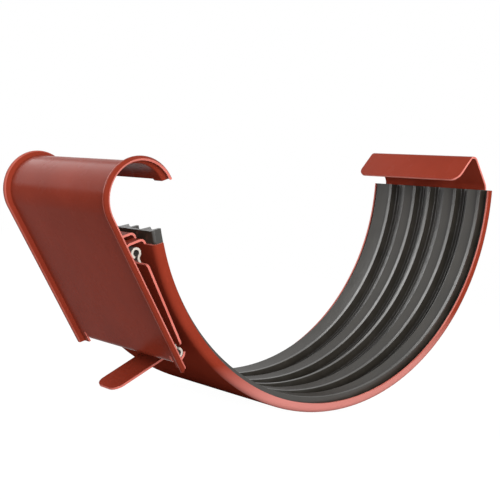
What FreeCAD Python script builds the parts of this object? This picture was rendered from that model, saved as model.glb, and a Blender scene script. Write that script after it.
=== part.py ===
import FreeCAD, Part
import math
import os

# Gutter union: a half-round steel band that draws two gutter ends together on a ribbed
# rubber seal. A toggle lever at the front pulls down a hooked cover plate.
# Everything is drawn as installed, with the gutter's axis along Y and the front at -X.
# Each piece is then tilted about that axis to the way the union lies on a level floor.

# Lengths in mm, angles in degrees
DRIVING_SIZES = {
    # Half-round band
    "band_radius": 66.0,
    "band_width": 49.7,
    "gauge": 0.6,
    "lip_bend": 1.5,
    "lip_depth": 2.7,
    "rear_end_angle": 4.7,
    "front_end_angle": 12.7,
    # Rear clip, which turns over the gutter's back edge
    "clip_width": 43.4,
    "clip_bend": 4.0,
    "clip_lean_angle": 30.0,
    "neck_length": 8.4,
    "fold_radius": 1.8,
    "flap_slope_angle": 45.0,
    "flap_length": 9.1,
    "flap_corner": 3.0,
    # Front tab, bent over the upper hinge
    "tab_width": 40.4,
    "tab_middle_width": 32.4,
    "tab_slit": 0.6,
    "tab_middle_rise": 1.3,
    "tab_rise_angle": 92.3,
    "tab_rise_bend": 1.2,
    "tab_run": 3.0,
    "tab_drop_angle": 85.0,
    "tab_drop_bend": 1.4,
    "tab_lip": 1.2,
    # Hinge link with a rolled eye at each end
    "link_gauge": 0.6,
    "link_width": 41.2,
    "eye_radius": 1.4,
    "eye_neck": 1.0,
    "eye_wrap_angle": 290.0,
    "hinge_gap": 0.3,
    "hinge_standoff": 1.3,
    "hinge_lag_angle": 1.2,
    # Locking tongue, cut from the band and bent out of it
    "tongue_width": 10.0,
    "tongue_root_angle": 46.7,
    "tongue_bend": 1.5,
    "tongue_slope_angle": 23.0,
    "tongue_length": 18.2,
    "tongue_corner": 3.0,
    "tongue_slit": 0.4,
    # Rubber seal
    "seal_gap": 0.1,
    "seal_side_gap": 0.2,
    "seal_corner": 0.8,
    "seal_overhang": 3.3,
    "seal_floor": 0.9,
    "seal_margin": 1.2,
    "rib_height": 2.4,
    "rib_pitch": 10.9,
    "rib_land": 1.9,
    "rib_step": 1.0,
    "rib_shelf": 0.6,
    "ramp_run": 3.7,
    "ramp_rise": 0.3,
    "rib_draft": 0.3,
    "centre_rib_start": -0.9,
    "centre_ramp_run": 1.1,
    # Cover plate with its hook, joggled rims and rolled foot
    "cover_width": 53.1,
    "cover_standoff": 4.85,
    "cover_lean_angle": 28.4,
    "rim_rise": 1.3,
    "rim_edge_rise": 0.7,
    "rim_edge_run": 0.9,
    "rim_width": 0.7,
    "joggle_run": 1.0,
    "hook_radius": 8.95,
    "hook_centre_rise": 30.4,
    "hook_wrap_angle": 181.0,
    "hook_ear_width": 6.1,
    "hook_ear_length": 0.5,
    "foot_drop": 12.1,
    "foot_width": 40.2,
    "foot_wrap_angle": 150.0,
    "relief_width": 1.1,
    "relief_depth": 0.8,
    "lobe_length": 2.7,
    "lobe_corner": 2.0,
    # Lever plate
    "lever_width": 49.7,
    "lever_top_gap": 2.4,
    "lever_foot_gap": 3.5,
    "lever_corner": 2.0,
}

doc = FreeCAD.newDocument("gutter_union")
sheet = doc.addObject("Spreadsheet::Sheet", "sizes")
for row, (alias, value) in enumerate(DRIVING_SIZES.items(), start=1):
    sheet.set("A%d" % row, alias)
    sheet.set("B%d" % row, str(value))
    sheet.setAlias("B%d" % row, alias)
doc.recompute()


def size(alias):
    """One driving size, read from the sheet."""
    return float(sheet.get(alias))


def heading(angle):
    """Unit vector at an angle in degrees from +X towards +Z, in a sketch's own plane."""
    return FreeCAD.Vector(math.cos(math.radians(angle)), math.sin(math.radians(angle)), 0)


def angle_of(vector):
    """Angle in degrees of a vector in a sketch's own plane."""
    return math.degrees(math.atan2(vector.y, vector.x))


GAUGE = size("gauge")
HAIR = GAUGE / 20
BAND_MID = size("band_radius") - GAUGE / 2
REAR_START = heading(-size("rear_end_angle")) * BAND_MID
FRONT_START = heading(180 + size("front_end_angle")) * BAND_MID
TONGUE_START = heading(180 + size("tongue_root_angle")) * BAND_MID

# The upper hinge lies on the band's outer face, just under the bend of the front tab
EYE_OUTER = size("eye_radius") + size("link_gauge") / 2
HINGE_REACH = size("band_radius") + size("hinge_standoff") + EYE_OUTER
UPPER_HINGE = heading(180 + size("front_end_angle") + size("hinge_lag_angle")) * HINGE_REACH

# The cover's plane faces forward and down: OUTWARD is its normal, DOWNHILL runs to its foot
OUTWARD = heading(180 + size("cover_lean_angle"))
DOWNHILL = heading(270 + size("cover_lean_angle"))
COVER_MID = size("band_radius") + size("cover_standoff") - GAUGE / 2
HOOK_MID = size("hook_radius") - GAUGE / 2
HOOK_CENTRE = OUTWARD * (COVER_MID - HOOK_MID) - DOWNHILL * size("hook_centre_rise")
FOOT_MID = EYE_OUTER + size("hinge_gap") + GAUGE / 2
LOWER_HINGE = OUTWARD * (COVER_MID - FOOT_MID) + DOWNHILL * size("foot_drop")
PLATE_LENGTH = size("hook_centre_rise") + size("foot_drop")

# The link runs straight from one hinge to the other
LINK_SPAN = (LOWER_HINGE - UPPER_HINGE).Length
LINK_ANGLE = angle_of(LOWER_HINGE - UPPER_HINGE)


def tongue_turn():
    """How far the tongue is bent out of the band, in degrees."""
    return 90 + size("tongue_slope_angle") - size("tongue_root_angle")


def rest_tilt():
    """Forward tilt that lays the band's round back and the tongue's tip on one level floor."""
    angle = 90 + size("tongue_root_angle")
    centre = TONGUE_START + heading(angle + 90) * size("tongue_bend")
    angle += tongue_turn()
    bend_end = centre + heading(angle - 90) * size("tongue_bend")
    tip = bend_end + heading(angle) * size("tongue_length") + heading(angle + 90) * GAUGE / 2
    return math.degrees(math.asin(size("band_radius") / tip.Length)) - angle_of(-tip)


def start_body(name):
    """A new body that carries the sub-part's name and the tilt of the resting union."""
    body = doc.addObject("PartDesign::Body", name)
    body.Label = name
    rest = FreeCAD.Rotation(FreeCAD.Vector(0, 1, 0), -rest_tilt())
    body.Placement = FreeCAD.Placement(FreeCAD.Vector(), rest)
    return body


def origin_plane(body, role):
    """One of the body's own origin planes."""
    return [feature for feature in body.Origin.OriginFeatures if feature.Role == role][0]


def add_sketch(body, role, name, offset=None):
    """A sketch on one of the body's origin planes, shifted or turned by an offset."""
    sketch = body.newObject("Sketcher::SketchObject", name)
    sketch.AttachmentSupport = [(origin_plane(body, role), "")]
    sketch.MapMode = "FlatFace"
    if offset is not None:
        sketch.AttachmentOffset = offset
    return sketch


def swung(angle, centre=None):
    """Turns an XY sketch about Y, its X axis going down under the gutter's axis from the rear."""
    point = FreeCAD.Vector() if centre is None else FreeCAD.Vector(centre.x, 0, centre.y)
    return FreeCAD.Placement(point, FreeCAD.Rotation(FreeCAD.Vector(0, 1, 0), angle))


def add_arc(sketch, centre, radius, first_angle, turn):
    """An arc that starts at an angle and turns left (positive) or right (negative)."""
    low, high = sorted((first_angle, first_angle + turn))
    circle = Part.Circle(centre, FreeCAD.Vector(0, 0, 1), radius)
    sketch.addGeometry(Part.ArcOfCircle(circle, math.radians(low), math.radians(high)), False)


def draw_strip(sketch, start, angle, moves, gauge):
    """Draws the closed edge view of a formed strip.

    start and angle place its middle line. Each move is ("run", length) or
    ("bend", radius, turn), where a positive turn bends to the left.
    """
    point = start
    across = heading(angle + 90) * gauge / 2
    sketch.addGeometry(Part.LineSegment(point - across, point + across), False)
    for move in moves:
        side = heading(angle + 90)
        if move[0] == "run":
            end = point + heading(angle) * move[1]
            for reach in (gauge / 2, -gauge / 2):
                sketch.addGeometry(Part.LineSegment(point + side * reach, end + side * reach), False)
            point = end
            continue
        radius, turn = move[1], move[2]
        hand = math.copysign(1, turn)
        centre = point + side * hand * radius
        first_angle = angle - 90 * hand
        for reach in (gauge / 2, -gauge / 2):
            add_arc(sketch, centre, radius - hand * reach, first_angle, turn)
        point = centre + heading(first_angle + turn) * radius
        angle += turn
    across = heading(angle + 90) * gauge / 2
    sketch.addGeometry(Part.LineSegment(point + across, point - across), False)


def draw_outline(sketch, points):
    """Draws a closed polygon through (x, y) points."""
    corners = [FreeCAD.Vector(x, y, 0) for x, y in points]
    for first, second in zip(corners, corners[1:] + corners[:1]):
        sketch.addGeometry(Part.LineSegment(first, second), False)


def beside(points, reach):
    """The (x, y) line that runs beside another one, mitred at its corners, reach to its left."""
    line = [FreeCAD.Vector(x, y, 0) for x, y in points]
    headings = [angle_of(second - first) for first, second in zip(line, line[1:])]
    before = headings[:1] + headings
    after = headings + headings[-1:]
    shifted = []
    for point, first, second in zip(line, before, after):
        across = heading((first + second) / 2 + 90)
        moved = point + across * reach / math.cos(math.radians((second - first) / 2))
        shifted.append((moved.x, moved.y))
    return shifted


def add_feature(body, kind, name, sketch, bindings):
    """A sketch-based feature with its sizes bound to the sheet."""
    feature = body.newObject("PartDesign::" + kind, name)
    feature.Profile = sketch
    if kind in ("Revolution", "Groove"):
        feature.ReferenceAxis = (sketch, ["V_Axis"])
    for target, expression in bindings.items():
        feature.setExpression(target, expression)
    return feature


def add_strip(body, name, start, angle, moves, gauge, width, centre=0):
    """A formed strip, drawn from the side and padded by its width about a centre along Y."""
    offset = FreeCAD.Placement(FreeCAD.Vector(0, 0, centre), FreeCAD.Rotation())
    sketch = add_sketch(body, "XZ_Plane", name + "_profile", offset)
    draw_strip(sketch, start, angle, moves, gauge)
    pad = add_feature(body, "Pad", name, sketch, {"Length": width})
    pad.Midplane = True
    doc.recompute()
    return pad


def add_fillet(body, base, name, radius, wanted):
    """Rounds the edges of the base feature that a test picks."""
    names = ["Edge%d" % number for number, edge in enumerate(base.Shape.Edges, start=1) if wanted(edge)]
    fillet = body.newObject("PartDesign::Fillet", name)
    fillet.Base = (base, names)
    fillet.setExpression("Radius", radius)
    doc.recompute()
    return fillet


def crosses_sheet(edge, gauge):
    """True for an edge that only runs through the thickness of a sheet."""
    return abs(edge.Length - gauge) < HAIR and edge.BoundBox.YLength < HAIR


def make_band():
    """Half-round band with rolled-in lips, rear clip, front hinge tab and locking tongue."""
    body = start_body("band")
    half = size("band_width") / 2
    bend = size("lip_bend")
    lip_edge = size("band_radius") - size("lip_depth")

    # Section of the rolled channel, swept round the gutter's axis, its bends drawn as short flats
    section = add_sketch(body, "XY_Plane", "band_section", swung(size("rear_end_angle")))
    bend_centre = FreeCAD.Vector(size("band_radius") - bend, half - bend, 0)
    reach = (bend - GAUGE / 2) / math.cos(math.radians(15))
    corners = [bend_centre + heading(angle) * reach for angle in (15, 45, 75)]
    lip = [(corner.x, corner.y) for corner in corners] + [(lip_edge, half - GAUGE / 2)]
    line = [(x, -y) for x, y in reversed(lip)] + lip
    draw_outline(section, beside(line, GAUGE / 2) + list(reversed(beside(line, -GAUGE / 2))))
    sweep = "180 - sizes.rear_end_angle - sizes.front_end_angle"
    add_feature(body, "Revolution", "rolled_channel", section, {"Angle": sweep})
    doc.recompute()

    # Rear clip: up from the band's end, leaning in, then folded down and forward
    rise = 90 - size("rear_end_angle")
    lean = 90 + size("clip_lean_angle") - rise
    fold = 90 + size("flap_slope_angle") - size("clip_lean_angle")
    clip = [("bend", size("clip_bend"), lean), ("run", size("neck_length"))]
    clip += [("bend", size("fold_radius"), fold), ("run", size("flap_length"))]
    clip_pad = add_strip(body, "rear_clip", REAR_START, rise, clip, GAUGE, "sizes.clip_width")
    flap_limit = REAR_START.x - size("flap_length")
    clip_half = size("clip_width") / 2

    def is_flap_corner(edge):
        box = edge.BoundBox
        at_side = abs(abs(box.YMin) - clip_half) < HAIR
        return crosses_sheet(edge, GAUGE) and at_side and 0 < box.XMax < flap_limit

    add_fillet(body, clip_pad, "flap_corners", "sizes.flap_corner", is_flap_corner)

    # Front tab: bent outward and down over the upper hinge, its middle slit free and set higher
    tab = [("bend", size("tab_rise_bend"), size("tab_rise_angle")), ("run", size("tab_run"))]
    tab += [("bend", size("tab_drop_bend"), size("tab_drop_angle")), ("run", size("tab_lip"))]
    raised = [("run", size("tab_middle_rise"))] + tab
    tab_angle = 90 + size("front_end_angle")
    add_strip(body, "front_tab_middle", FRONT_START, tab_angle, raised, GAUGE, "sizes.tab_middle_width")
    side_centre = (size("tab_width") + size("tab_middle_width")) / 4 + size("tab_slit") / 2
    side_width = "(sizes.tab_width - sizes.tab_middle_width) / 2 - sizes.tab_slit"
    for name, centre in (("front_tab_near", side_centre), ("front_tab_far", -side_centre)):
        add_strip(body, name, FRONT_START, tab_angle, tab, GAUGE, side_width, centre)

    # Window that the tongue's stock leaves in the band
    window_half = size("tongue_width") / 2 + size("tongue_slit")
    inner, outer = BAND_MID - GAUGE, BAND_MID + GAUGE
    window = add_sketch(body, "XY_Plane", "window_section", swung(180 - size("tongue_root_angle")))
    draw_outline(window, [(inner, -window_half), (outer, -window_half), (outer, window_half), (inner, window_half)])
    stock = "(sizes.tongue_length + sizes.tongue_bend) / (sizes.band_radius - sizes.gauge / 2) * 180 / pi"
    add_feature(body, "Groove", "tongue_window", window, {"Angle": stock})
    doc.recompute()

    # Tongue: the strip from that window, bent outward below the cover
    tongue = [("bend", size("tongue_bend"), tongue_turn()), ("run", size("tongue_length"))]
    root_angle = 90 + size("tongue_root_angle")
    tongue_pad = add_strip(body, "tongue", TONGUE_START, root_angle, tongue, GAUGE, "sizes.tongue_width")
    tongue_half = size("tongue_width") / 2
    reach = size("band_radius") + size("tongue_length") / 2

    def is_tongue_corner(edge):
        box = edge.BoundBox
        at_side = abs(abs(box.YMin) - tongue_half) < HAIR
        return crosses_sheet(edge, GAUGE) and at_side and math.hypot(box.XMin, box.ZMin) > reach

    add_fillet(body, tongue_pad, "tongue_tip", "sizes.tongue_corner", is_tongue_corner)
    return body


def make_seal():
    """Ribbed rubber seal that lies in the band's channel."""
    body = start_body("seal")
    base = size("band_radius") - GAUGE - size("seal_gap")
    half = size("band_width") / 2 - GAUGE - size("seal_side_gap")
    floor = base - size("seal_floor")
    crest = floor - size("rib_height")
    step = crest + size("rib_step")
    ramp_tip = crest - size("ramp_rise")
    corner = size("seal_corner")
    land = size("rib_land")
    shelf = land + size("rib_shelf")
    tip = shelf + size("ramp_run")
    first_ribs = [size("seal_margin") - half + size("rib_pitch") * count for count in range(2)]
    last_ribs = [half - size("seal_margin") - tip - size("rib_pitch") * count for count in range(2)]
    ramp_slope = (step - ramp_tip) / size("ramp_run")
    centre_tip = step - ramp_slope * size("centre_ramp_run")
    ribs = [(start, size("ramp_run"), ramp_tip) for start in first_ribs + last_ribs]
    ribs.append((size("centre_rib_start"), size("centre_ramp_run"), centre_tip))
    outline = [(base - corner, -half), (base, corner - half), (base, half - corner), (base - corner, half)]
    outline += [(floor, half)]
    for start, run, peak in sorted(ribs, reverse=True):
        outline += [(floor, start + shelf + run + size("rib_draft")), (peak, start + shelf + run)]
        outline += [(step, start + shelf), (step, start + land), (crest, start + land)]
        outline += [(crest, start), (floor, start - size("rib_draft"))]
    outline += [(floor, -half)]
    section = add_sketch(body, "XY_Plane", "seal_section", swung(size("rear_end_angle")))
    draw_outline(section, outline)
    overhang = "sizes.seal_overhang / sizes.band_radius * 180 / pi"
    sweep = "180 - sizes.rear_end_angle - sizes.front_end_angle + " + overhang
    add_feature(body, "Revolution", "seal_ring", section, {"Angle": sweep})
    doc.recompute()
    return body


def draw_cover_section(sketch):
    """Cross-section of the cover: a flat middle with a rim joggled outward at each side."""
    edge_lean = math.atan2(size("rim_rise") - size("rim_edge_rise"), size("rim_edge_run"))
    half = size("cover_width") / 2 - GAUGE / 2 * math.sin(edge_lean)
    rim = [(size("rim_edge_rise"), half)]
    rim.append((size("rim_rise"), half - size("rim_edge_run")))
    rim.append((size("rim_rise"), half - size("rim_edge_run") - size("rim_width")))
    rim.append((0, half - size("rim_edge_run") - size("rim_width") - size("joggle_run")))
    line = [(HOOK_MID + rise, -y) for rise, y in rim] + [(HOOK_MID + rise, y) for rise, y in reversed(rim)]
    draw_outline(sketch, beside(line, GAUGE / 2) + list(reversed(beside(line, -GAUGE / 2))))


def make_cover():
    """Cover plate with a hook for the gutter's bead, joggled rims and a rolled foot."""
    body = start_body("cover")
    placed = swung(180 - size("cover_lean_angle"), HOOK_CENTRE)

    # The hook turns about its own centre and the plate runs straight down from it
    hook_section = add_sketch(body, "XY_Plane", "hook_section", placed)
    draw_cover_section(hook_section)
    hook = add_feature(body, "Revolution", "hook", hook_section, {"Angle": "sizes.hook_wrap_angle"})
    hook.Reversed = False
    doc.recompute()
    plate_section = add_sketch(body, "XY_Plane", "plate_section", placed)
    draw_cover_section(plate_section)
    plate_length = "sizes.hook_centre_rise + sizes.foot_drop + sizes.lobe_length"
    plate = add_feature(body, "Pad", "plate", plate_section, {"Length": plate_length})
    doc.recompute()

    # The hook's free edge stands out a little at both sides
    ear_start = size("cover_width") / 2 - size("hook_ear_width")
    reach = 2 * size("rim_rise")
    tip_angle = 180 + size("cover_lean_angle") - size("hook_wrap_angle")
    tip_section = add_sketch(body, "XY_Plane", "hook_tip_section", swung(-tip_angle, HOOK_CENTRE))
    inner, outer = HOOK_MID - reach, HOOK_MID + reach
    draw_outline(tip_section, [(inner, -ear_start), (outer, -ear_start), (outer, ear_start), (inner, ear_start)])
    ear = "sizes.hook_ear_length / (sizes.hook_radius - sizes.gauge / 2) * 180 / pi"
    tip_cut = add_feature(body, "Groove", "hook_tip_cut", tip_section, {"Angle": ear})
    tip_cut.Reversed = True
    doc.recompute()

    # The lobes are parted from the foot by narrow relief cuts that end above its bend
    half = size("cover_width") / 2
    corner = size("lobe_corner")
    parting = size("foot_width") / 2 + size("relief_width")
    cut_start = size("relief_depth") - PLATE_LENGTH
    lobe_end = -PLATE_LENGTH - size("lobe_length")
    clear = lobe_end - GAUGE
    relief = add_sketch(body, "XY_Plane", "relief_outline", swung(270 - size("cover_lean_angle"), HOOK_CENTRE))
    draw_outline(relief, [(clear, -parting), (cut_start, -parting), (cut_start, parting), (clear, parting)])

    # Their outer corners are rounded by the same cut
    for side in (1, -1):
        points = [(lobe_end, half - corner), (clear, half - corner), (clear, half + GAUGE)]
        points += [(lobe_end + corner, half + GAUGE), (lobe_end + corner, half)]
        corners = [FreeCAD.Vector(x, side * y, 0) for x, y in points]
        for first, second in zip(corners, corners[1:]):
            relief.addGeometry(Part.LineSegment(first, second), False)
        centre = FreeCAD.Vector(lobe_end + corner, side * (half - corner), 0)
        add_arc(relief, centre, corner, 180, -90 * side)
    cut = add_feature(body, "Pocket", "relief_cuts", relief, {})
    cut.Type = "ThroughAll"
    cut.Midplane = True
    doc.recompute()

    # Foot, rolled in under the lower hinge
    foot_start = OUTWARD * COVER_MID + DOWNHILL * (size("foot_drop") - 2 * size("relief_depth"))
    foot = [("run", 2 * size("relief_depth")), ("bend", FOOT_MID, size("foot_wrap_angle"))]
    add_strip(body, "rolled_foot", foot_start, 270 + size("cover_lean_angle"), foot, GAUGE, "sizes.foot_width")
    return body


def make_lever_plate():
    """Flat lever plate that lies on the outer face of the hinge link."""
    body = start_body("lever_plate")
    lift = heading(LINK_ANGLE - 90) * (size("link_gauge") + GAUGE) / 2
    start = UPPER_HINGE + heading(LINK_ANGLE) * size("lever_top_gap") + lift
    length = LINK_SPAN - size("lever_top_gap") - size("lever_foot_gap")
    pad = add_strip(body, "lever_sheet", start, LINK_ANGLE, [("run", length)], GAUGE, "sizes.lever_width")
    add_fillet(body, pad, "lever_corners", "sizes.lever_corner", lambda edge: crosses_sheet(edge, GAUGE))
    return body


def make_hinge_link():
    """Galvanised link with a rolled eye at each end, the two eyes curling opposite ways."""
    body = start_body("hinge_link")
    eye = size("eye_radius")
    neck = size("eye_neck")
    wrap = size("eye_wrap_angle")
    neck_turn = math.degrees(math.acos(neck / (eye + neck)))
    neck_reach = math.sqrt((eye + neck) ** 2 - neck ** 2)
    free_end = LINK_ANGLE + 90 - neck_turn + wrap
    moves = [("bend", eye, -wrap), ("bend", neck, neck_turn), ("run", LINK_SPAN - 2 * neck_reach)]
    moves += [("bend", neck, -neck_turn), ("bend", eye, wrap)]
    start = UPPER_HINGE + heading(free_end) * eye
    gauge = size("link_gauge")
    add_strip(body, "eyed_link", start, free_end - 90, moves, gauge, "sizes.link_width")
    return body


def check_document():
    """Stops the build if any feature failed or a body has no valid solid."""
    for item in doc.Objects:
        if "Invalid" in item.State or "Error" in item.State:
            raise RuntimeError("feature failed: " + item.Name)
    for item in doc.findObjects("PartDesign::Body"):
        if item.Shape.isNull() or not item.Shape.isValid() or len(item.Shape.Solids) != 1:
            raise RuntimeError("no valid solid: " + item.Name)


sub_parts = [make_band(), make_seal(), make_cover(), make_lever_plate(), make_hinge_link()]
doc.recompute()
check_document()
os.makedirs("parts", exist_ok=True)
for sub_part in sub_parts:
    sub_part.Shape.exportStep("parts/%s.step" % sub_part.Label)
print("rest tilt", round(rest_tilt(), 3), "upper hinge", UPPER_HINGE, "lower hinge", LOWER_HINGE)
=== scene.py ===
import math
import bpy
import bmesh
from mathutils import Matrix, Vector


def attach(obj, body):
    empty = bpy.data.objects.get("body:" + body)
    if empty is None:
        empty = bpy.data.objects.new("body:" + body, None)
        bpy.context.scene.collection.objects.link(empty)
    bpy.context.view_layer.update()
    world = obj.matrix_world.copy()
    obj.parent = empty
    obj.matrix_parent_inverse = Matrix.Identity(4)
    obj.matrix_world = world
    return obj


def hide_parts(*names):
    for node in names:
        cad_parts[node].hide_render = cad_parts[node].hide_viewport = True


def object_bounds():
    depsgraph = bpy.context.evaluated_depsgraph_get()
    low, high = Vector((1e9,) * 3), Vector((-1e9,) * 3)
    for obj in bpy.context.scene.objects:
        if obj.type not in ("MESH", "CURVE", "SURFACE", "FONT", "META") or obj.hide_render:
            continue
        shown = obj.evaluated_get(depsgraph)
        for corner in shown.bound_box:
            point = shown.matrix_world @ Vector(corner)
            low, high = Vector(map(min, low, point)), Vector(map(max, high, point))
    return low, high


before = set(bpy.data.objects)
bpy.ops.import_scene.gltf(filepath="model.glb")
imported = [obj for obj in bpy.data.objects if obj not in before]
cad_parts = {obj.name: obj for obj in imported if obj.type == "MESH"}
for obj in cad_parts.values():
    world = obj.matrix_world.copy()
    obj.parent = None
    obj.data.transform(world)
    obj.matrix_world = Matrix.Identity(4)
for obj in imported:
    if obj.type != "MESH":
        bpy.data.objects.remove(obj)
cad_low, cad_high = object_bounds()

MM = 0.001

# Tilt about Y of the resting union from its installed attitude, in degrees
REST_TILT = 11.018

# Sizes of the union as installed, in mm and degrees. They are the model's own, apart from the
# seal's ribs and side gap, the lever plate's corners and the trim of the link's eyes.
GAUGE = 0.6
BAND_RADIUS = 66.0
BAND_HALF = 24.85
LIP_BEND = 1.5
LIP_DEPTH = 2.7
REAR_END = 4.7
FRONT_END = 12.7
CLIP_HALF = 21.7
CLIP_BEND = 4.0
CLIP_LEAN = 30.0
NECK_LENGTH = 8.4
FOLD_RADIUS = 1.8
FLAP_SLOPE = 45.0
FLAP_LENGTH = 9.1
FLAP_CORNER = 3.0
TAB_HALF = 20.2
TAB_MIDDLE_HALF = 16.2
TAB_SLIT = 0.6
TAB_MIDDLE_RISE = 1.3
TAB_RISE_BEND = 1.2
TAB_RISE_ANGLE = 92.3
TAB_RUN = 3.0
TAB_DROP_BEND = 1.4
TAB_DROP_ANGLE = 85.0
TAB_LIP = 1.2
TONGUE_HALF = 5.0
TONGUE_ROOT = 46.7
TONGUE_BEND = 1.5
TONGUE_SLOPE = 23.0
TONGUE_LENGTH = 18.2
TONGUE_CORNER = 3.0
TONGUE_SLIT = 0.4
SEAL_GAP = 0.1
SEAL_SIDE_GAP = 0.7
SEAL_CORNER = 0.8
SEAL_OVERHANG = 3.3
SEAL_FLOOR = 0.9
RIB_HEIGHT = 2.5
RIB_NOTCH = 1.6
RIB_LAND = 1.1
RIB_SHELF = 1.7
RIB_DRAFT = 0.3
RAMP_RUN = 3.2
RAMP_RISE = 0.2
FLOOR_BEAD = 0.4
LINK_GAUGE = 0.6
LINK_HALF = 20.6
EYE = 1.4
EYE_TRIM = 0.25
EYE_NECK = 1.0
EYE_WRAP = 290.0
HINGE_GAP = 0.3
HINGE_STANDOFF = 1.3
HINGE_LAG = 1.2
COVER_HALF = 26.55
COVER_STANDOFF = 4.85
COVER_LEAN = 28.4
RIM_RISE = 1.3
RIM_EDGE_RISE = 0.7
RIM_EDGE_RUN = 0.9
RIM_WIDTH = 0.7
JOGGLE_RUN = 1.0
HOOK_RADIUS = 8.95
HOOK_RISE = 30.4
HOOK_WRAP = 181.0
HOOK_EAR_WIDTH = 6.1
HOOK_EAR_LENGTH = 0.5
FOOT_DROP = 12.1
FOOT_HALF = 20.1
FOOT_WRAP = 150.0
RELIEF_WIDTH = 1.1
RELIEF_DEPTH = 0.8
LOBE_LENGTH = 2.7
LOBE_CORNER = 2.0
LEVER_HALF = 24.85
LEVER_TOP_GAP = 2.4
LEVER_FOOT_GAP = 3.5
LEVER_CORNER = 0.9

# Rounding of the edges and of the rims' bends, in mm
SHEET_BEVEL = 0.12
RUBBER_BEVEL = 0.15
LINK_BEVEL = 0.04
RIM_BEND_REACH = 0.25

# The matt stretch of the band's outer face, in degrees round from its rear
UNDERSIDE_FROM = 40
UNDERSIDE_TO = 160

# How finely the curved shapes are divided
BAND_STEPS = 84
WINDOW_STEPS = 12
SEAL_STEPS = 108
STRIP_COLUMNS = 12
CORNER_STEPS = 12

# Tolerance for comparing places, in mm
HAIR = 0.01

# Material slots that every sheet has: its faces and its cut edges
FACE = 0
CUT_EDGE = 1


def heading(angle):
    """Unit vector at an angle in degrees from +X towards +Z, seen from the side."""
    return Vector((math.cos(math.radians(angle)), math.sin(math.radians(angle))))


BAND_MID = BAND_RADIUS - GAUGE / 2
EYE_OUTER = EYE + LINK_GAUGE / 2
UPPER_HINGE = heading(180 + FRONT_END + HINGE_LAG) * (BAND_RADIUS + HINGE_STANDOFF + EYE_OUTER)
OUTWARD = heading(180 + COVER_LEAN)
DOWNHILL = heading(270 + COVER_LEAN)
COVER_MID = BAND_RADIUS + COVER_STANDOFF - GAUGE / 2
HOOK_MID = HOOK_RADIUS - GAUGE / 2
HOOK_CENTRE = OUTWARD * (COVER_MID - HOOK_MID) - DOWNHILL * HOOK_RISE
FOOT_MID = EYE_OUTER + HINGE_GAP + GAUGE / 2
LOWER_HINGE = OUTWARD * (COVER_MID - FOOT_MID) + DOWNHILL * FOOT_DROP
LINK = LOWER_HINGE - UPPER_HINGE
LINK_ANGLE = math.degrees(math.atan2(LINK.y, LINK.x))
REST = Matrix.Rotation(math.radians(-REST_TILT), 3, "Y")


def placed(x, y, z):
    """A point given as installed, in mm, at its place in the resting union, in metres."""
    return REST @ Vector((x, y, z)) * MM


def shader_nodes(name):
    """A new material, its node tree and its surface shader."""
    material = bpy.data.materials.new(name)
    material.use_nodes = True
    tree = material.node_tree
    return material, tree, tree.nodes["Principled BSDF"]


def linked(tree, kind, settings, inputs):
    """Adds a node, sets its properties, and fills or links its inputs."""
    node = tree.nodes.new(kind)
    for key, value in settings.items():
        setattr(node, key, value)
    for key, value in inputs.items():
        if isinstance(value, bpy.types.NodeSocket):
            tree.links.new(value, node.inputs[key])
        else:
            node.inputs[key].default_value = value
    return node


def noise(tree, scale, detail=3.0, roughness=0.5):
    """Noise in the union's own space, at a scale per metre."""
    place = linked(tree, "ShaderNodeTexCoord", {}, {}).outputs["Object"]
    inputs = {"Vector": place, "Scale": scale, "Detail": detail, "Roughness": roughness}
    return linked(tree, "ShaderNodeTexNoise", {}, inputs).outputs["Fac"]


def spread(tree, value, low, high, new_low, new_high):
    """Maps a value from one range to another, held at both ends."""
    inputs = {"Value": value, "From Min": low, "From Max": high, "To Min": new_low, "To Max": new_high}
    return linked(tree, "ShaderNodeMapRange", {}, inputs).outputs["Result"]


def tinted(tree, factor, first, second):
    """Mixes two colours by a factor."""
    node = linked(tree, "ShaderNodeMix", {"data_type": "RGBA"}, {0: factor, 6: (*first, 1), 7: (*second, 1)})
    return node.outputs[2]


def linear(red, green, blue):
    """An 8-bit display colour as the linear colour that a shader takes."""
    def channel(value):
        part = value / 255
        return part / 12.92 if part <= 0.04045 else ((part + 0.055) / 1.055) ** 2.4
    return tuple(channel(value) for value in (red, green, blue))


def coated_steel(name, dark, light, rough, sheen=0.015):
    """Coil-coated sheet: faint mottling, fine orange peel and slightly uneven gloss."""
    material, tree, shader = shader_nodes(name)
    mottle = spread(tree, noise(tree, 60, 4), 0.35, 0.65, 0.0, 1.0)
    tree.links.new(tinted(tree, mottle, dark, light), shader.inputs["Base Color"])
    gloss = spread(tree, noise(tree, 140, 5, 0.6), 0.3, 0.7, rough - 0.05, rough + 0.07)
    tree.links.new(gloss, shader.inputs["Roughness"])
    height = noise(tree, 1100, 2)
    peel = linked(tree, "ShaderNodeBump", {}, {"Strength": 0.05, "Distance": 0.00005, "Height": height})
    tree.links.new(peel.outputs["Normal"], shader.inputs["Normal"])
    shader.inputs["IOR"].default_value = 1.5
    shader.inputs["Specular IOR Level"].default_value = sheen
    return material


def rim_steel_painted_highlight():
    """The band's paint on its rolled rims, with a painted highlight: paler towards the band's lowest
    stretch.
    """
    material = coated_steel("coated_rim_painted_highlight", PAINT_DARK, PAINT_LIGHT, 0.3, 0.0)
    tree = material.node_tree
    shader = tree.nodes["Principled BSDF"]
    place = linked(tree, "ShaderNodeTexCoord", {}, {}).outputs["Object"]
    lowest = (0.25, 0, -1)
    depth = linked(tree, "ShaderNodeVectorMath", {"operation": "DOT_PRODUCT"}, {0: place, 1: lowest})
    share = spread(tree, depth.outputs["Value"], 0.046, 0.059, 0.0, 1.0)
    body = shader.inputs["Base Color"].links[0].from_socket
    # A pale pink painted highlight, mixed in towards the band's lowest stretch
    rim_highlight_colour = (*linear(196, 124, 116), 1)
    mixed = linked(tree, "ShaderNodeMix", {"data_type": "RGBA"}, {0: share, 6: body, 7: rim_highlight_colour})
    tree.links.new(mixed.outputs[2], shader.inputs["Base Color"])
    return material


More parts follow.
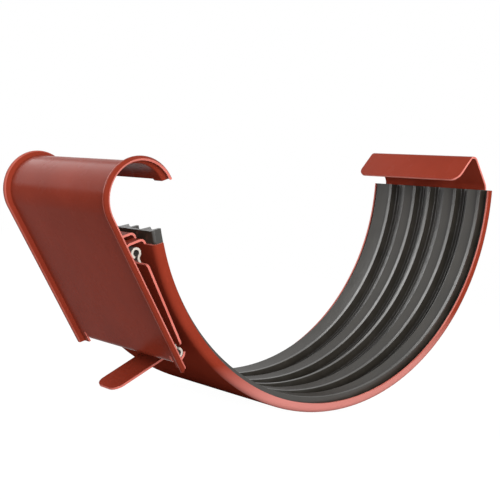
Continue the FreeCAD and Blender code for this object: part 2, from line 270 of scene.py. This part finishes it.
def seal_rubber():
    """Extruded rubber: dull, with fine lengthwise drag lines and a dusty bloom."""
    material, tree, shader = shader_nodes("seal_rubber_matt")
    bloom = spread(tree, noise(tree, 90, 5, 0.6), 0.3, 0.7, 0.0, 1.0)
    colour = tinted(tree, bloom, linear(30, 27, 21), linear(42, 38, 32))
    tree.links.new(colour, shader.inputs["Base Color"])
    gloss = spread(tree, noise(tree, 260, 3), 0.3, 0.7, 0.3, 0.4)
    tree.links.new(gloss, shader.inputs["Roughness"])
    place = linked(tree, "ShaderNodeTexCoord", {}, {}).outputs["Object"]
    drawn = linked(tree, "ShaderNodeMapping", {}, {"Vector": place, "Scale": (120.0, 5200.0, 120.0)})
    inputs = {"Vector": drawn.outputs["Vector"], "Scale": 1.0, "Detail": 2.0}
    lines = linked(tree, "ShaderNodeTexNoise", {}, inputs).outputs["Fac"]
    grain = linked(tree, "ShaderNodeBump", {}, {"Strength": 0.12, "Distance": 0.0002, "Height": lines})
    tree.links.new(grain.outputs["Normal"], shader.inputs["Normal"])
    shader.inputs["Specular IOR Level"].default_value = 0.8
    return material


def galvanised():
    """Bare zinc-coated sheet with a soft spangle."""
    material, tree, shader = shader_nodes("zinc_spangle")
    place = linked(tree, "ShaderNodeTexCoord", {}, {}).outputs["Object"]
    cells = linked(tree, "ShaderNodeTexVoronoi", {}, {"Vector": place, "Scale": 420.0}).outputs["Color"]
    flake = linked(tree, "ShaderNodeRGBToBW", {}, {"Color": cells}).outputs["Val"]
    colour = tinted(tree, flake, linear(150, 146, 140), linear(178, 173, 167))
    tree.links.new(colour, shader.inputs["Base Color"])
    tree.links.new(spread(tree, flake, 0.2, 0.8, 0.32, 0.45), shader.inputs["Roughness"])
    shader.inputs["Metallic"].default_value = 0.75
    return material


PAINT_DARK = linear(134, 50, 34)
PAINT_LIGHT = linear(142, 54, 37)
PAINT = coated_steel("coated_face", PAINT_DARK, PAINT_LIGHT, 0.25)
PAINT_UNDER = coated_steel("coated_underside", PAINT_DARK, PAINT_LIGHT, 0.3, 0.0)
# Rolled rims: painted highlight, paler towards the band's lowest stretch
PAINT_RIM_HIGHLIGHT = rim_steel_painted_highlight()
# Paler paint on the cover's raised rim bends: a painted highlight
PAINT_BEND_HIGHLIGHT = coated_steel("coated_bend_highlight", linear(170, 84, 70), linear(186, 98, 84), 0.3)
# Pale pink paint on the sheets' cut edges and their rounding: a painted highlight
PAINT_EDGE_HIGHLIGHT = coated_steel("coated_edge_highlight", linear(196, 104, 92), linear(224, 136, 124), 0.4)
RUBBER = seal_rubber()
ZINC = galvanised()
# Near-white paint on the link's cut edges: a painted highlight
ZINC_EDGE_HIGHLIGHT = coated_steel("zinc_edge_highlight", linear(190, 182, 172), linear(214, 206, 196), 0.4)


def walk(start, angle, moves, step=4.0, pitch=2.0):
    """Middle line of a formed strip, as a list of (point, heading angle, length so far)."""
    point = start.copy()
    line = [(point.copy(), angle, 0.0)]
    travelled = 0.0
    for move in moves:
        if move[0] == "run":
            pieces = max(1, round(move[1] / pitch))
            for count in range(1, pieces + 1):
                reach = move[1] * count / pieces
                line.append((point + heading(angle) * reach, angle, travelled + reach))
            point = point + heading(angle) * move[1]
            travelled += move[1]
            continue
        radius, turn = move[1], move[2]
        hand = math.copysign(1, turn)
        centre = point + heading(angle + 90) * hand * radius
        pieces = max(2, math.ceil(abs(turn) / step))
        for count in range(1, pieces + 1):
            part = turn * count / pieces
            spot = centre + heading(angle - 90 * hand + part) * radius
            line.append((spot, angle + part, travelled + radius * math.radians(abs(part))))
        point = line[-1][0]
        travelled = line[-1][2]
        angle += turn
    return line


def sheet_mesh(mesh, rows, columns, place, gauge, present=None, finish=None):
    """Adds a sheet of even thickness to a bmesh, with its cut edges in their own material slot.

    place(row, column) gives the middle surface's point and normal, in mm as installed,
    present(row, column) says whether a cell of the grid is there, and finish(row, column)
    gives the material slot of its faces.
    """
    corners = {}

    def corner(row, column, side):
        key = (row, column, side)
        if key not in corners:
            point, normal = place(row, column)
            corners[key] = mesh.verts.new(placed(*(point + normal * side * gauge / 2)))
        return corners[key]

    def solid(row, column):
        inside = 0 <= row < rows - 1 and 0 <= column < columns - 1
        return inside and (present is None or present(row, column))

    for row in range(rows - 1):
        for column in range(columns - 1):
            if not solid(row, column):
                continue
            ring = [(row, column), (row, column + 1), (row + 1, column + 1), (row + 1, column)]
            outer = mesh.faces.new([corner(*spot, 1) for spot in ring])
            inner = mesh.faces.new([corner(*spot, -1) for spot in reversed(ring)])
            outer.material_index = inner.material_index = finish(row, column) if finish else FACE
            beyond = [(row - 1, column), (row, column + 1), (row + 1, column), (row, column - 1)]
            for number, neighbour in enumerate(beyond):
                if solid(*neighbour):
                    continue
                first, second = ring[number], ring[(number + 1) % 4]
                wall = [corner(*first, 1), corner(*first, -1), corner(*second, -1), corner(*second, 1)]
                mesh.faces.new(wall).material_index = CUT_EDGE


def strip_mesh(mesh, line, half, gauge, start_corner=0.0, end_corner=0.0, centre=0.0):
    """Adds a formed strip of a given half width, its corners rounded where asked."""
    length = line[-1][2]
    turns = [90 * (number + 0.5) / CORNER_STEPS for number in range(CORNER_STEPS)]
    reaches = [1 - math.cos(math.radians(turn)) for turn in turns]
    extra = [start_corner * reach for reach in reaches if start_corner]
    extra += [length - end_corner * reach for reach in reaches if end_corner]
    stations = []
    for (first, angle, at), (second, turned, later) in zip(line, line[1:]):
        stations.append((first, angle, at))
        for spot in sorted(extra):
            if at < spot < later:
                share = (spot - at) / (later - at)
                stations.append((first.lerp(second, share), angle + (turned - angle) * share, spot))
    stations.append(line[-1])

    def width(at):
        for corner, into in ((start_corner, at), (end_corner, length - at)):
            if corner and into < corner:
                return half - corner + math.sqrt(max(0.0, corner ** 2 - (corner - into) ** 2))
        return half

    across = [share / STRIP_COLUMNS * 2 - 1 for share in range(STRIP_COLUMNS + 1)]

    def place(row, column):
        point, angle, at = stations[row]
        side = heading(angle + 90)
        return Vector((point.x, centre + across[column] * width(at), point.y)), Vector((side.x, 0, side.y))

    sheet_mesh(mesh, len(stations), len(across), place, gauge)


def finished(mesh, name, materials, bevel):
    """Turns a bmesh into an object with rounded, evenly shaded edges."""
    bmesh.ops.recalc_face_normals(mesh, faces=mesh.faces)
    data = bpy.data.meshes.new(name)
    mesh.to_mesh(data)
    mesh.free()
    for material in materials:
        data.materials.append(material)
    piece = bpy.data.objects.new(name, data)
    bpy.context.scene.collection.objects.link(piece)
    for polygon in data.polygons:
        polygon.use_smooth = True
    rounding = piece.modifiers.new("edge_rounding", "BEVEL")
    rounding.width = bevel * MM
    rounding.segments = 2
    rounding.limit_method = "ANGLE"
    rounding.angle_limit = math.radians(50)
    # The rounding takes the cut edges' paint, with its painted highlight where the piece has one
    rounding.material = CUT_EDGE if len(materials) > 1 else FACE
    rounding.harden_normals = True
    return piece


def make_band():
    """Band, rear clip, front tab and tongue as one formed sheet."""
    mesh = bmesh.new()
    lip_run = LIP_DEPTH - LIP_BEND
    lip_turn = ("bend", LIP_BEND - GAUGE / 2, 90)
    flat = 2 * (BAND_HALF - LIP_BEND)
    start = Vector((BAND_RADIUS - LIP_DEPTH, GAUGE / 2 - BAND_HALF))
    moves = [("run", lip_run), lip_turn, ("run", flat), lip_turn, ("run", lip_run)]
    pitch = 1.0
    section = walk(start, 0, moves, step=12.0, pitch=pitch)
    slit = TONGUE_HALF + TONGUE_SLIT
    for spot, _, _ in section:
        if abs(spot.x - BAND_MID) < HAIR and abs(abs(spot.y) - slit) < pitch / 2:
            spot.y = math.copysign(slit, spot.y)
    stock = math.degrees((TONGUE_LENGTH + TONGUE_BEND) / BAND_MID)
    root = 180 - TONGUE_ROOT
    front = 180 - FRONT_END
    stops = [REAR_END + (root - REAR_END) * share / BAND_STEPS for share in range(BAND_STEPS + 1)]
    for first, last in ((root, root + stock), (root + stock, front)):
        shares = range(1, WINDOW_STEPS + 1)
        stops += [first + (last - first) * share / WINDOW_STEPS for share in shares]
    underside, rim = 2, 3

    def place(row, column):
        spot, angle, _ = section[row]
        turn = -stops[column]
        outward = heading(turn)
        side = heading(angle + 90)
        point = Vector((outward.x * spot.x, spot.y, outward.y * spot.x))
        return point, Vector((outward.x * side.x, side.y, outward.y * side.x))

    def present(row, column):
        middle = (section[row][0] + section[row + 1][0]) / 2
        in_window = root < (stops[column] + stops[column + 1]) / 2 < root + stock
        return not (in_window and abs(middle.y) < slit and middle.x > BAND_MID - HAIR)

    def finish(row, column):
        # The faces round the rolled rims take the rim paint with its painted highlight
        if abs(section[row][1] + section[row + 1][1] - 180) > 1:
            return rim
        return underside if UNDERSIDE_FROM < stops[column] < UNDERSIDE_TO else FACE

    sheet_mesh(mesh, len(section), len(stops), place, GAUGE, present, finish)
    rise = 90 - REAR_END
    clip = [("bend", CLIP_BEND, 90 + CLIP_LEAN - rise), ("run", NECK_LENGTH)]
    clip += [("bend", FOLD_RADIUS, 90 + FLAP_SLOPE - CLIP_LEAN), ("run", FLAP_LENGTH)]
    strip_mesh(mesh, walk(heading(-REAR_END) * BAND_MID, rise, clip), CLIP_HALF, GAUGE, 0, FLAP_CORNER)
    tab_start = heading(180 + FRONT_END) * BAND_MID
    tab = [("bend", TAB_RISE_BEND, TAB_RISE_ANGLE), ("run", TAB_RUN)]
    tab += [("bend", TAB_DROP_BEND, TAB_DROP_ANGLE), ("run", TAB_LIP)]
    raised = [("run", TAB_MIDDLE_RISE)] + tab
    strip_mesh(mesh, walk(tab_start, 90 + FRONT_END, raised, step=8.0), TAB_MIDDLE_HALF, GAUGE)
    finger_half = (TAB_HALF - TAB_MIDDLE_HALF - TAB_SLIT) / 2
    for side in (1, -1):
        finger = walk(tab_start, 90 + FRONT_END, tab, step=8.0)
        strip_mesh(mesh, finger, finger_half, GAUGE, 0, 0, side * (TAB_HALF - finger_half))
    tongue = [("bend", TONGUE_BEND, 90 + TONGUE_SLOPE - TONGUE_ROOT), ("run", TONGUE_LENGTH)]
    tongue_line = walk(heading(180 + TONGUE_ROOT) * BAND_MID, 90 + TONGUE_ROOT, tongue)
    strip_mesh(mesh, tongue_line, TONGUE_HALF, GAUGE, 0, TONGUE_CORNER)
    return finished(mesh, "band_sheet", [PAINT, PAINT_EDGE_HIGHLIGHT, PAINT_UNDER, PAINT_RIM_HIGHLIGHT], SHEET_BEVEL)


def make_seal():
    """Ribbed seal, its section turned round the gutter's axis."""
    base = BAND_RADIUS - GAUGE - SEAL_GAP
    half = BAND_HALF - GAUGE - SEAL_SIDE_GAP
    floor = base - SEAL_FLOOR
    crest = floor - RIB_HEIGHT
    notch = crest + RIB_NOTCH
    peak = crest - RAMP_RISE
    outline = [(base - SEAL_CORNER, -half), (base, SEAL_CORNER - half), (base, half - SEAL_CORNER),
               (base - SEAL_CORNER, half), (floor, half)]
    # Each rib's start across the band, the run of its ramp and the radius of the ramp's top.
    # A small bead lies on the floor beside each rib that has the room.
    ribs = ((15.5, 5.0, peak), (4.6, RAMP_RUN, peak), (-1.8, 0.5, crest + 1.3),
            (-12.8, RAMP_RUN, peak), (-22.6, RAMP_RUN, peak))
    bead_room = 3.0
    for start, run, top in ribs:
        foot = start + RIB_SHELF + run
        outline += [(floor, foot + RIB_DRAFT), (top, foot), (notch, start + RIB_SHELF)]
        outline += [(notch, start + RIB_LAND), (crest, start + RIB_LAND), (crest, start)]
        outline.append((floor, start - RIB_DRAFT))
        if start + half > bead_room:
            low = floor - FLOOR_BEAD
            outline += [(floor, start - 1.4), (low, start - 1.6), (low, start - 1.9), (floor, start - 2.1)]
    outline.append((floor, -half))
    mesh = bmesh.new()
    last = 180 - FRONT_END + math.degrees(SEAL_OVERHANG / BAND_RADIUS)
    rings = []
    for share in range(SEAL_STEPS + 1):
        outward = heading(-(REAR_END + (last - REAR_END) * share / SEAL_STEPS))
        spots = [placed(outward.x * radius, y, outward.y * radius) for radius, y in outline]
        rings.append([mesh.verts.new(spot) for spot in spots])
    count = len(outline)
    for first, second in zip(rings, rings[1:]):
        for number in range(count):
            after = (number + 1) % count
            mesh.faces.new([first[number], first[after], second[after], second[number]])
    mesh.faces.new(rings[0])
    mesh.faces.new(list(reversed(rings[-1])))
    return finished(mesh, "ribbed_seal", [RUBBER], RUBBER_BEVEL)


def rim_section():
    """The cover's cross-section as points (height above the flat, y) and heading angles."""
    lean = math.atan2(RIM_RISE - RIM_EDGE_RISE, RIM_EDGE_RUN)
    half = COVER_HALF - GAUGE / 2 * math.sin(lean)
    crest = half - RIM_EDGE_RUN
    joggle = crest - RIM_WIDTH
    corners = [(RIM_EDGE_RISE, half), (RIM_RISE, crest), (RIM_RISE, joggle), (0, joggle - JOGGLE_RUN)]
    line = [Vector((rise, -y)) for rise, y in corners] + [Vector((rise, y)) for rise, y in reversed(corners)]
    stops = [line[0]]
    for before, corner, after in zip(line, line[1:], line[2:]):
        reach = min(RIM_BEND_REACH, (corner - before).length * 0.5, (after - corner).length * 0.5)
        first = corner + (before - corner).normalized() * reach
        last = corner + (after - corner).normalized() * reach
        for share in (0.0, 0.25, 0.5, 0.75, 1.0):
            stops.append(first.lerp(corner, share).lerp(corner.lerp(last, share), share))
    stops.append(line[-1])
    ear_start = COVER_HALF - HOOK_EAR_WIDTH
    ear_slope = 0.15
    flats = [4.0 * number for number in range(-4, 5)]
    for across in (FOOT_HALF, ear_start - ear_slope, ear_start + ear_slope, FOOT_HALF + RELIEF_WIDTH):
        flats += [across, -across]
    stops = sorted(stops + [Vector((0, y)) for y in flats], key=lambda stop: stop.y)
    slopes = [math.degrees(math.atan2(b.y - a.y, b.x - a.x)) for a, b in zip(stops, stops[1:])]
    angles = [slopes[0]] + [(a + b) / 2 for a, b in zip(slopes, slopes[1:])] + [slopes[-1]]
    return [(spot, angle) for spot, angle in zip(stops, angles)]


def make_cover():
    """Hooked cover plate with joggled rims and its rolled foot."""
    mesh = bmesh.new()
    tip_angle = 180 + COVER_LEAN - HOOK_WRAP
    plate = HOOK_RISE + FOOT_DROP
    path = walk(HOOK_CENTRE + heading(tip_angle) * HOOK_MID, tip_angle + 90,
                [("bend", HOOK_MID, HOOK_WRAP), ("run", plate - RELIEF_DEPTH)], step=3.0, pitch=3.0)
    # The step beside the hook's ears is longer than one row, so the row after the tip goes
    path.pop(1)
    relief_row = len(path) - 1
    end = path[-1][0]
    foot = walk(end, 270 + COVER_LEAN, [("run", RELIEF_DEPTH), ("bend", FOOT_MID, FOOT_WRAP)])[1:]
    tail = RELIEF_DEPTH + LOBE_LENGTH
    section = rim_section()
    parting = FOOT_HALF + RELIEF_WIDTH
    corner_start = COVER_HALF - LOBE_CORNER
    ear_start = COVER_HALF - HOOK_EAR_WIDTH
    # The rims' bends carry a painted highlight, in paler paint, up to this distance from the middle
    bend_highlight_limit = COVER_HALF - RIM_EDGE_RUN - RIM_WIDTH / 2 - 0.2
    joggle_bend_highlight = 2

    def place(row, column):
        lift, y = section[column][0]
        side = heading(section[column][1] + 90)
        if row <= relief_row:
            spot, angle, _ = path[row]
        elif abs(y) < parting - HAIR:
            spot, angle, _ = foot[row - relief_row - 1]
        else:
            into = max(0.0, abs(y) - corner_start)
            short = LOBE_CORNER - math.sqrt(max(0.0, LOBE_CORNER ** 2 - into ** 2))
            left = 1 - (row - relief_row) / len(foot)
            spot = end + DOWNHILL * (tail - short) * (1 - left ** 1.5)
            angle = 270 + COVER_LEAN
        if row == 0 and abs(y) < ear_start:
            angle += math.degrees(HOOK_EAR_LENGTH / HOOK_MID)
            spot = HOOK_CENTRE + heading(angle - 90) * HOOK_MID
        out = heading(angle - 90)
        point = Vector((spot.x + out.x * lift, y, spot.y + out.y * lift))
        return point, Vector((out.x * side.x, side.y, out.y * side.x))

    def present(row, column):
        y = abs(section[column][0].y + section[column + 1][0].y) / 2
        return row < relief_row or not FOOT_HALF < y < parting

    def finish(row, column):
        first, second = section[column], section[column + 1]
        across = abs(first[0].y + second[0].y) / 2
        bent = abs(second[1] - first[1]) > 1
        raised = first[0].x > RIM_RISE / 2
        return joggle_bend_highlight if bent and raised and across < bend_highlight_limit else FACE

    sheet_mesh(mesh, len(path) + len(foot), len(section), place, GAUGE, present, finish)
    return finished(mesh, "hooked_cover", [PAINT, PAINT_EDGE_HIGHLIGHT, PAINT_BEND_HIGHLIGHT], SHEET_BEVEL)


def make_lever_plate():
    """Flat lever plate with rounded corners."""
    mesh = bmesh.new()
    lift = heading(LINK_ANGLE - 90) * (LINK_GAUGE + GAUGE) / 2
    start = UPPER_HINGE + heading(LINK_ANGLE) * LEVER_TOP_GAP + lift
    length = LINK.length - LEVER_TOP_GAP - LEVER_FOOT_GAP
    line = walk(start, LINK_ANGLE, [("run", length)])
    strip_mesh(mesh, line, LEVER_HALF, GAUGE, LEVER_CORNER, LEVER_CORNER)
    return finished(mesh, "lever_sheet", [PAINT, PAINT_EDGE_HIGHLIGHT], SHEET_BEVEL)


def make_hinge_link():
    """Galvanised link with its two rolled eyes."""
    mesh = bmesh.new()
    eye = EYE - EYE_TRIM
    neck_turn = math.degrees(math.acos(EYE_NECK / (eye + EYE_NECK)))
    neck_reach = math.sqrt((eye + EYE_NECK) ** 2 - EYE_NECK ** 2)
    free_end = LINK_ANGLE + 90 - neck_turn + EYE_WRAP
    moves = [("bend", eye, -EYE_WRAP), ("bend", EYE_NECK, neck_turn), ("run", LINK.length - 2 * neck_reach)]
    moves += [("bend", EYE_NECK, -neck_turn), ("bend", eye, EYE_WRAP)]
    line = walk(UPPER_HINGE + heading(free_end) * eye, free_end - 90, moves, step=10.0)
    strip_mesh(mesh, line, LINK_HALF, LINK_GAUGE)
    return finished(mesh, "eyed_link", [ZINC, ZINC_EDGE_HIGHLIGHT], LINK_BEVEL)


MAKERS = {"band": make_band, "seal": make_seal, "cover": make_cover,
          "lever_plate": make_lever_plate, "hinge_link": make_hinge_link}
BODY_OF = {"band": "clamp_band", "seal": "clamp_band", "cover": "front_cover",
           "lever_plate": "toggle_lever", "hinge_link": "toggle_lever"}
for node, make in MAKERS.items():
    made = make()
    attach(made, BODY_OF[node])
    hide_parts(node)

# Camera: fitted to the band's two rim circles, as seen in the installed frame
AZIMUTH = 39.427
ELEVATION = 6.517
ROLL = 0.401
DISTANCE = 5.002 * BAND_RADIUS
FOCAL_PX = 1113.7
PICTURE_PX = 500.0
AXIS_PX = (286.55, 175.66)
sight = Vector((math.sin(math.radians(AZIMUTH)) * math.cos(math.radians(ELEVATION)),
                math.cos(math.radians(AZIMUTH)) * math.cos(math.radians(ELEVATION)),
                -math.sin(math.radians(ELEVATION))))
level = Vector((math.cos(math.radians(AZIMUTH)), -math.sin(math.radians(AZIMUTH)), 0))
right = level * math.cos(math.radians(ROLL)) + level.cross(sight) * math.sin(math.radians(ROLL))
above = right.cross(sight)
aside = (AXIS_PX[0] - PICTURE_PX / 2) / FOCAL_PX * DISTANCE
lower = (AXIS_PX[1] - PICTURE_PX / 2) / FOCAL_PX * DISTANCE
eye_point = -(right * aside - above * lower + sight * DISTANCE)
lens = bpy.data.cameras.new("photo_camera")
camera = bpy.data.objects.new("photo_camera", lens)
bpy.context.scene.collection.objects.link(camera)
lens.sensor_width = 36.0
lens.lens = FOCAL_PX / PICTURE_PX * lens.sensor_width
lens.clip_start = 0.01
axes = Matrix((REST @ right, REST @ above, REST @ -sight)).transposed()
camera.matrix_world = Matrix.Translation(placed(*eye_point)) @ axes.to_4x4()
bpy.context.scene.camera = camera


def shown_white(tree):
    """1 for the rays that show the white surroundings, the camera's and reflections, else 0."""
    rays = linked(tree, "ShaderNodeLightPath", {}, {}).outputs
    inputs = {0: rays["Is Camera Ray"], 1: rays["Is Glossy Ray"]}
    return linked(tree, "ShaderNodeMath", {"operation": "MAXIMUM"}, inputs).outputs[0]


# Studio, in metres
FLOOR_HALF = 4.0
FLOOR_DROP = 0.0002
LAMP_AIM = Vector((0, 0, -0.02))
FLOOR_GLOW = 1.16


def white_floor(name, shade, lift):
    """A pale floor that the camera and reflections see as white, with the object's shadow kept faint."""
    material, tree, shader = shader_nodes(name)
    shader.inputs["Base Color"].default_value = (shade, shade, shade, 1)
    shader.inputs["Roughness"].default_value = 0.9
    shader.inputs["Specular IOR Level"].default_value = 0.0
    share = linked(tree, "ShaderNodeMath", {"operation": "MULTIPLY"}, {0: shown_white(tree), 1: lift})
    glow = linked(tree, "ShaderNodeEmission", {}, {"Color": (1, 1, 1, 1), "Strength": FLOOR_GLOW})
    mixed = linked(tree, "ShaderNodeMixShader", {}, {0: share.outputs[0]})
    tree.links.new(shader.outputs[0], mixed.inputs[1])
    tree.links.new(glow.outputs[0], mixed.inputs[2])
    tree.links.new(mixed.outputs[0], tree.nodes["Material Output"].inputs["Surface"])
    return material


def area_lamp(name, place, width, height, power):
    """A soft lamp that faces the union."""
    data = bpy.data.lights.new(name, "AREA")
    data.shape = "RECTANGLE"
    data.size = width
    data.size_y = height
    data.energy = power
    lamp = bpy.data.objects.new(name, data)
    bpy.context.scene.collection.objects.link(lamp)
    lamp.location = place
    lamp.rotation_euler = (LAMP_AIM - Vector(place)).to_track_quat("-Z", "Y").to_euler()


floor_mesh = bmesh.new()
bmesh.ops.create_grid(floor_mesh, x_segments=2, y_segments=2, size=FLOOR_HALF)
floor_data = bpy.data.meshes.new("studio_floor")
floor_mesh.to_mesh(floor_data)
floor_mesh.free()
floor_data.materials.append(white_floor("floor_white", 0.45, 0.85))
floor = bpy.data.objects.new("studio_floor", floor_data)
bpy.context.scene.collection.objects.link(floor)
floor.location.z = cad_low.z - FLOOR_DROP

world = bpy.data.worlds.new("studio_world")
bpy.context.scene.world = world
world.use_nodes = True
sky = world.node_tree
backdrop = sky.nodes["Background"]
backdrop.inputs["Color"].default_value = (1, 1, 1, 1)
strength = spread(sky, shown_white(sky), 0.0, 1.0, 0.3, 1.0)
sky.links.new(strength, backdrop.inputs["Strength"])
area_lamp("key_lamp", (-0.1, -0.6, 0.5), 0.5, 0.5, 1.5)
area_lamp("near_lamp", (-0.33, -0.8, 0.05), 0.4, 0.4, 9.0)
area_lamp("far_lamp", (-0.33, 0.96, 0.42), 1.0, 0.9, 13.0)

bpy.context.scene.view_settings.view_transform = "Standard"
